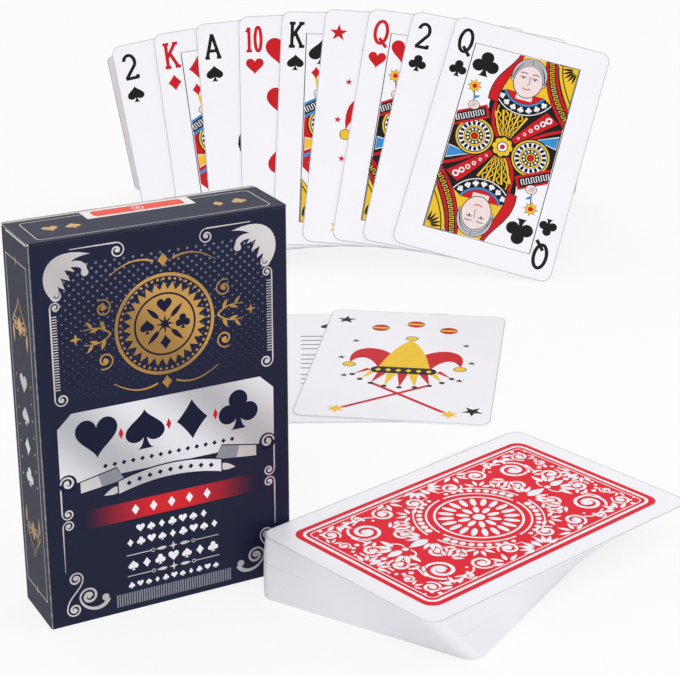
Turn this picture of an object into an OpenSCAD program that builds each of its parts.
// Playing card deck: a folding tuck box, a twisted pile of cards, a fan of nine cards and a few loose cards.
// The origin is the middle of the box's base, +Z is up, and the printed front of the box faces -Y.

/* [Cards] */
// Width of a card, bridge size
card_w = 57; // [55:0.5:59]
// Length of a card, bridge size
card_l = 88; // [85:0.5:91]
// Thickness of a card
card_t = 0.29; // [0.26:0.01:0.32]
// Radius of a card's corners
card_r = 3.5; // [2.5:0.5:4.5]
// Air between two cards that lie on each other
card_air = 0.03; // [0.02:0.01:0.05]
// Cards in the pack: 52, two jokers and an info card
pack_count = 55; // [50:1:58]

/* [Tuck box] */
// Thickness of the box's board
board = 0.45; // [0.35:0.05:0.55]
// Outer radius of the folds between the front, the sides and the back
fold_r = 0.6; // [0.55:0.05:0.9]
// Room beside the cards, both sides together
room_w = 2.1; // [1.6:0.1:3]
// Room in front of and behind the full pack, together
room_d = 0.55; // [0.4:0.05:1]
// Height of the box above a card's length
room_h = 3; // [2.5:0.5:5]
// Air between the lid's folded edge and the back panel
lid_gap = 0.3; // [0.2:0.05:0.5]
// Length of the tongue that tucks in behind the back panel
tongue_len = 10; // [8:0.5:11]
// Angle between the lid and the tucked tongue, in degrees
tongue_angle = 55; // [50:1:58]
// Length of a dust flap under the lid
flap_len = 13; // [10:0.5:14]
// Share of the lid's swing that a dust flap makes
flap_swing_share = 0.6; // [0.55:0.01:0.65]
// Width of the thumb notch in the back panel
notch_w = 16; // [12:1:18]
// Width of the seal on the rear edge of the lid
seal_w = 25.4; // [20:0.2:28]
// Length of the seal on the lid
seal_on_lid = 5.5; // [4:0.5:7]
// Length of the seal on the back panel
seal_on_back = 18; // [14:1:22]

/* [Pile] */
// Direction of the lowest card's long side, in degrees
pile_low_yaw = 31; // [26:1:36]
// Direction of the top card's long side, in degrees
pile_top_yaw = 14; // [10:1:20]
// How far the lowest card's middle lies past the box's corner, along its long side
pile_low_along = 29; // [26:1:34]
// How far the top card's middle lies past the box's corner, along its long side
pile_top_along = 34; // [30:1:38]
// Air between the pile's long sides and the box's corner
pile_gap = 0.6; // [0.4:0.1:3]
// Share of the pile below the place where it is cut
pile_cut_share = 0.58; // [0.4:0.02:0.7]

/* [Fan] */
// Place of the fan's foot, to the right of the box's middle
fan_x = 143; // [138:1:150]
// Place of the fan's foot, behind the box's middle
fan_y = 173; // [168:1:185]
// Direction of the fan's foot, in degrees
fan_yaw = -30; // [-34:1:-26]
// Lean of the fan, back from upright, in degrees
fan_lean = 34.5; // [32:0.5:37]
// Distance from the fan's pivot to the cards' top edges
fan_radius = 253; // [245:1:260]
// Turn from one card of the fan to the next, in degrees
fan_step = 3.58; // [3.3:0.02:3.8]
// Lean of the two cards that prop the fan up from behind, in degrees
prop_lean = 40; // [37:1:43]
// Distance from the fan's middle to the middle of each prop
prop_side = 60; // [58:0.5:61.5]

/* [Loose cards] */
// Place of the loose joker, to the right of the box's middle
joker_x = 120; // [116:1:124]
// Place of the loose joker, behind the box's middle
joker_y = 92; // [90:1:96]
// Direction of the loose joker, in degrees
joker_yaw = -36; // [-40:1:-32]
// Place of the info card under the joker, to the right of the box's middle
info_x = 110; // [107:1:113]
// Place of the info card under the joker, behind the box's middle
info_y = 97; // [94:1:100]
// Direction of the info card, in degrees
info_yaw = -27; // [-31:1:-23]

/* [Hidden] */
$fn = 48;

// Cuts run past the surfaces that they break through by this much
overrun = 1;

// Box, worked out from the pack that it holds
box_w = card_w + room_w + 2 * board;
box_d = pack_count * card_t + room_d + 2 * board;
box_h = card_l + room_h;
inner_w = box_w - 2 * board;
inner_d = box_d - 2 * board;
flat_w = box_w - 2 * fold_r;
flat_d = box_d - 2 * fold_r;
fold_inner_r = fold_r - board;

// Air at a crease, between a fold's round bead and the panel that it turns on
crease_air = 0.03;
// Radius of the round bead along a crease
bead_r = board / 2;

// Lid: the hinge crease runs along the top of the front panel, the tongue's crease along the lid's rear edge
hinge_y = -box_d / 2 + bead_r;
hinge_z = box_h - bead_r;
crease_y = box_d / 2 - board - lid_gap - bead_r;
lid_reach = crease_y - hinge_y;
// The lid's rear end is cut back below so that the folded tongue clears it
lid_end_top = bead_r + crease_air;
lid_end_low = (bead_r + crease_air + bead_r * cos(tongue_angle)) / sin(tongue_angle) + crease_air;

// Tongue: clears the side panels and the glue flap, and its free corners are round
tongue_side_air = 0.6;
tongue_w = inner_w - 2 * board - 2 * tongue_side_air;
tongue_corner_r = 4;

// Dust flaps: each turns on the top edge of a side panel, under the lid
flap_air = 0.05;
flap_z = box_h - board - flap_air - bead_r;
flap_x = box_w / 2 - bead_r;
flap_front_air = 0.9;
flap_rear_air = 2.4;
flap_front = hinge_y + flap_front_air;
flap_rear = crease_y - flap_rear_air;
// The front edge of a dust flap slants a little more than the rising lid needs
flap_slant_share = 1.05;
flap_tip_front = flap_front + flap_len * flap_swing_share * flap_slant_share;
flap_end_air = 0.15;

// Side panels rise to the lid in front of and behind the dust flap's crease
side_top = box_h - board - flap_air;
side_crease_top = flap_z - bead_r - crease_air;

// Bottom closure, three boards deep, and the glue flap inside the right side
floor_depth = 3 * board;
inner_flap_share = 0.8;
bottom_dust_len = 14;
bottom_dust_air = 0.5;
glue_flap_w = 10;
glue_flap_top_drop = 8;
glue_flap_lift = 1;

// Seal
seal_t = 0.08;
notch_r = notch_w / 2;

// Pile: every card's long side passes the box's front right corner at the same gap
fan_count = 9;
apart_count = 4;
pile_count = pack_count - fan_count - apart_count;
card_pitch = card_t + card_air;
cut_index = floor(pile_count * pile_cut_share);
top_index = pile_count - 1;
function pile_share(k) = k / top_index;
function pile_yaw(k) = pile_low_yaw + (pile_top_yaw - pile_low_yaw) * pile_share(k);
function pile_along(k) = pile_low_along + (pile_top_along - pile_low_along) * pile_share(k);

// Fan: turned in its plane by fan_roll so that the outer corners of both end cards stand on the ground
fan_mid = (fan_count - 1) / 2;
fan_half = fan_mid * fan_step;
corner_reach = fan_radius - card_l + card_r;
corner_side = card_w / 2 - card_r;
fan_roll = asin(fan_mid * card_pitch * tan(fan_lean) / (corner_reach * sin(fan_half) + corner_side * cos(fan_half)));
fan_drop = corner_reach * cos(fan_half - fan_roll) - corner_side * sin(fan_half - fan_roll) - card_r;
function fan_tilt(i) = (i - fan_mid) * fan_step + fan_roll;

// Props: top edges against the backs of the fan's first and sixth cards
prop_air = 0.02;
prop_top = card_l * cos(prop_lean);
left_prop_layer = 0;
right_prop_layer = 5;
function prop_foot(layer) =
    (prop_top * sin(fan_lean) - layer * card_pitch + prop_air) / cos(fan_lean) + card_l * sin(prop_lean);

// Shapes that repeat

// Outline of one card, its middle at the origin and its long side along Y
module card_outline() {
    straight_w = card_w - 2 * card_r;
    straight_l = card_l - 2 * card_r;
    square([card_w, straight_l], center = true);
    square([straight_w, card_l], center = true);
    for (sx = [-1, 1], sy = [-1, 1])
        translate([sx * straight_w / 2, sy * straight_l / 2]) circle(r = card_r);
}

// One card, its lower face at z = 0
module card() {
    linear_extrude(card_t) card_outline();
}

// A straight board between two corners
module board_block(low, high) {
    translate(low) cube(high - low);
}

// A bead along X from -length / 2 to length / 2
module bead_x(length) {
    rotate([0, 90, 0]) cylinder(h = length, r = bead_r, center = true);
}

// Moves a profile drawn in Y and Z, extruded along X by width, to the middle of the box
module extrude_x(width) {
    translate([-width / 2, 0, 0]) rotate([90, 0, 90]) linear_extrude(width) children();
}

// Cards of the pile from index first to index last, each turned a little from the one below
module pile_cards(first, last) {
    for (k = [first:last])
        translate([box_w / 2, -box_d / 2, k * card_pitch])
            rotate([0, 0, pile_yaw(k)])
                translate([pile_along(k), -card_w / 2 - pile_gap, 0])
                    rotate([0, 0, -90]) card();
}

// The fan's upright frame: X along its foot, Y away from the viewer
module fan_place() {
    translate([fan_x, fan_y, 0]) rotate([0, 0, fan_yaw]) children();
}

// Card i of the fan, counted from the left, each lying on the one before it
module fan_card(i) {
    color("whitesmoke") fan_place() rotate([90 - fan_lean, 0, 0]) translate([0, -fan_drop, i * card_pitch])
        rotate([0, 0, -fan_tilt(i)]) translate([0, fan_radius - card_l / 2, 0]) card();
}

// A card that leans forward on the fan's back, its upper edge behind the given layer
module prop_card(side, layer) {
    color("whitesmoke") fan_place() translate([side, prop_foot(layer), 0]) rotate([90 + prop_lean, 0, 0])
        translate([0, card_l / 2, -card_t]) card();
}

// A card that lies flat
module flat_card(x, y, yaw, layer) {
    color("whitesmoke") translate([x, y, layer * card_pitch]) rotate([0, 0, yaw]) card();
}

// Plan of the front panel: a flat board with a quarter-round fold at each side
module wrap_plan() {
    translate([-flat_w / 2, -box_d / 2]) square([flat_w, board]);
    for (side = [-1, 1])
        translate([side * flat_w / 2, -flat_d / 2]) intersection() {
            difference() {
                circle(r = fold_r);
                circle(r = fold_inner_r);
            }
            translate([min(0, side * fold_r), -fold_r]) square([fold_r, fold_r]);
        }
}

// Profile of a side panel in Y and Z, lower along the dust flap's crease
module side_profile() {
    back = flat_d / 2;
    from = flap_front - flap_end_air;
    to = flap_rear + flap_end_air;
    polygon([[-back, 0], [back, 0], [back, side_top], [to, side_top], [to, side_crease_top],
        [from, side_crease_top], [from, side_top], [-back, side_top]]);
}

// Left-hand dust flap, its crease along Y at the origin and its plate pointing along +X
module dust_flap() {
    crease_length = flap_rear - flap_front;
    translate([0, flap_rear, 0]) rotate([90, 0, 0]) cylinder(h = crease_length, r = bead_r);
    translate([0, 0, -bead_r]) linear_extrude(board)
        polygon([[0, flap_front], [flap_len, flap_tip_front], [flap_len, flap_rear], [0, flap_rear]]);
}

// One half of the bottom's dust flaps, the left one
module bottom_dust_flap() {
    low_y = -inner_d / 2 + bottom_dust_air;
    board_block([-inner_w / 2, low_y, 2 * board], [-inner_w / 2 + bottom_dust_len, -low_y, floor_depth]);
}

// Sub-parts of the tuck box

// Printed front, between the ground and the lid's hinge crease
module front_panel() {
    top = box_h - board - crease_air;
    color("midnightblue") linear_extrude(top) wrap_plan();
}

// Back, with a half-round thumb notch at the top
module back_panel() {
    color("midnightblue") difference() {
        linear_extrude(box_h) mirror([0, 1]) wrap_plan();
        translate([0, box_d / 2 + overrun, box_h]) rotate([90, 0, 0])
            cylinder(h = board + 2 * overrun, r = notch_r);
    }
}

module left_side_panel() {
    color("slategray") translate([-(box_w - board) / 2, 0, 0]) extrude_x(board) side_profile();
}

module right_side_panel() {
    color("slategray") translate([(box_w - board) / 2, 0, 0]) extrude_x(board) side_profile();
}

// Flap of the back panel, glued inside the right side panel
module glue_flap() {
    back = inner_d / 2 - fold_inner_r;
    color("whitesmoke") board_block(
        [inner_w / 2 - board, back - glue_flap_w, floor_depth + glue_flap_lift],
        [inner_w / 2, back, box_h - glue_flap_top_drop]);
}

// Outer leaf of the bottom, the face that the box stands on
module bottom_outer_flap() {
    color("midnightblue") board_block([-inner_w / 2, -inner_d / 2, 0], [inner_w / 2, inner_d / 2, board]);
}

// Inner leaf of the bottom, glued to the outer one
module bottom_inner_flap() {
    depth = inner_d * inner_flap_share;
    color("whitesmoke") board_block([-inner_w / 2, -inner_d / 2, board],
        [inner_w / 2, -inner_d / 2 + depth, 2 * board]);
}

module bottom_dust_flap_left() {
    color("whitesmoke") bottom_dust_flap();
}

module bottom_dust_flap_right() {
    color("whitesmoke") mirror([1, 0, 0]) bottom_dust_flap();
}

// Lower half of the seal, on the back panel over the thumb notch
module seal_back_half() {
    color("tomato") board_block([-seal_w / 2, box_d / 2, box_h - seal_on_back],
        [seal_w / 2, box_d / 2 + seal_t, box_h]);
}

// Lid with its hinge bead, its rear end cut back under the tongue's crease
module lid_panel() {
    top_end = lid_reach - lid_end_top;
    low_end = lid_reach - lid_end_low;
    color("darkslategray") translate([0, hinge_y, hinge_z]) {
        bead_x(box_w);
        extrude_x(box_w) polygon([[0, -bead_r], [low_end, -bead_r], [top_end, bead_r], [0, bead_r]]);
    }
}

// Upper half of the seal, on the rear edge of the lid
module seal_lid_half() {
    end = crease_y - lid_end_top;
    color("tomato") board_block([-seal_w / 2, end - seal_on_lid, box_h], [seal_w / 2, end, box_h + seal_t]);
}

// Tongue with its crease bead, tucked in and down from the lid's rear edge
module tuck_tongue() {
    square_len = tongue_len - tongue_corner_r;
    straight_w = tongue_w - 2 * tongue_corner_r;
    color("whitesmoke") translate([0, crease_y, hinge_z]) {
        bead_x(tongue_w);
        rotate([180 + tongue_angle, 0, 0]) translate([0, 0, -bead_r]) linear_extrude(board) {
            translate([-tongue_w / 2, 0]) square([tongue_w, square_len]);
            translate([-straight_w / 2, 0]) square([straight_w, tongue_len]);
            for (side = [-1, 1])
                translate([side * straight_w / 2, square_len]) circle(r = tongue_corner_r);
        }
    }
}

module dust_flap_left() {
    color("whitesmoke") translate([-flap_x, 0, flap_z]) dust_flap();
}

module dust_flap_right() {
    color("whitesmoke") translate([flap_x, 0, flap_z]) mirror([1, 0, 0]) dust_flap();
}

// Sub-parts of the pile

module pile_lower_packet() {
    color("white") pile_cards(0, cut_index - 1);
}

module pile_cut_packet() {
    color("white") pile_cards(cut_index, top_index - 1);
}

module pile_top_card() {
    color("crimson") pile_cards(top_index, top_index);
}

// The fan, its props and the loose cards

module fan_two_of_spades() { fan_card(0); }
module fan_king_of_diamonds() { fan_card(1); }
module fan_ace_of_spades() { fan_card(2); }
module fan_ten_of_hearts() { fan_card(3); }
module fan_king_of_spades() { fan_card(4); }
module fan_joker() { fan_card(5); }
module fan_queen_of_hearts() { fan_card(6); }
module fan_two_of_clubs() { fan_card(7); }
module fan_queen_of_clubs() { fan_card(8); }
module prop_card_left() { prop_card(-prop_side, left_prop_layer); }
module prop_card_right() { prop_card(prop_side, right_prop_layer); }
module joker_card() { flat_card(joker_x, joker_y, joker_yaw, 1); }
module info_card() { flat_card(info_x, info_y, info_yaw, 0); }

front_panel();
back_panel();
left_side_panel();
right_side_panel();
glue_flap();
bottom_outer_flap();
bottom_inner_flap();
bottom_dust_flap_left();
bottom_dust_flap_right();
seal_back_half();
lid_panel();
seal_lid_half();
tuck_tongue();
dust_flap_left();
dust_flap_right();
pile_lower_packet();
pile_cut_packet();
pile_top_card();
fan_two_of_spades();
fan_king_of_diamonds();
fan_ace_of_spades();
fan_ten_of_hearts();
fan_king_of_spades();
fan_joker();
fan_queen_of_hearts();
fan_two_of_clubs();
fan_queen_of_clubs();
prop_card_left();
prop_card_right();
joker_card();
info_card();
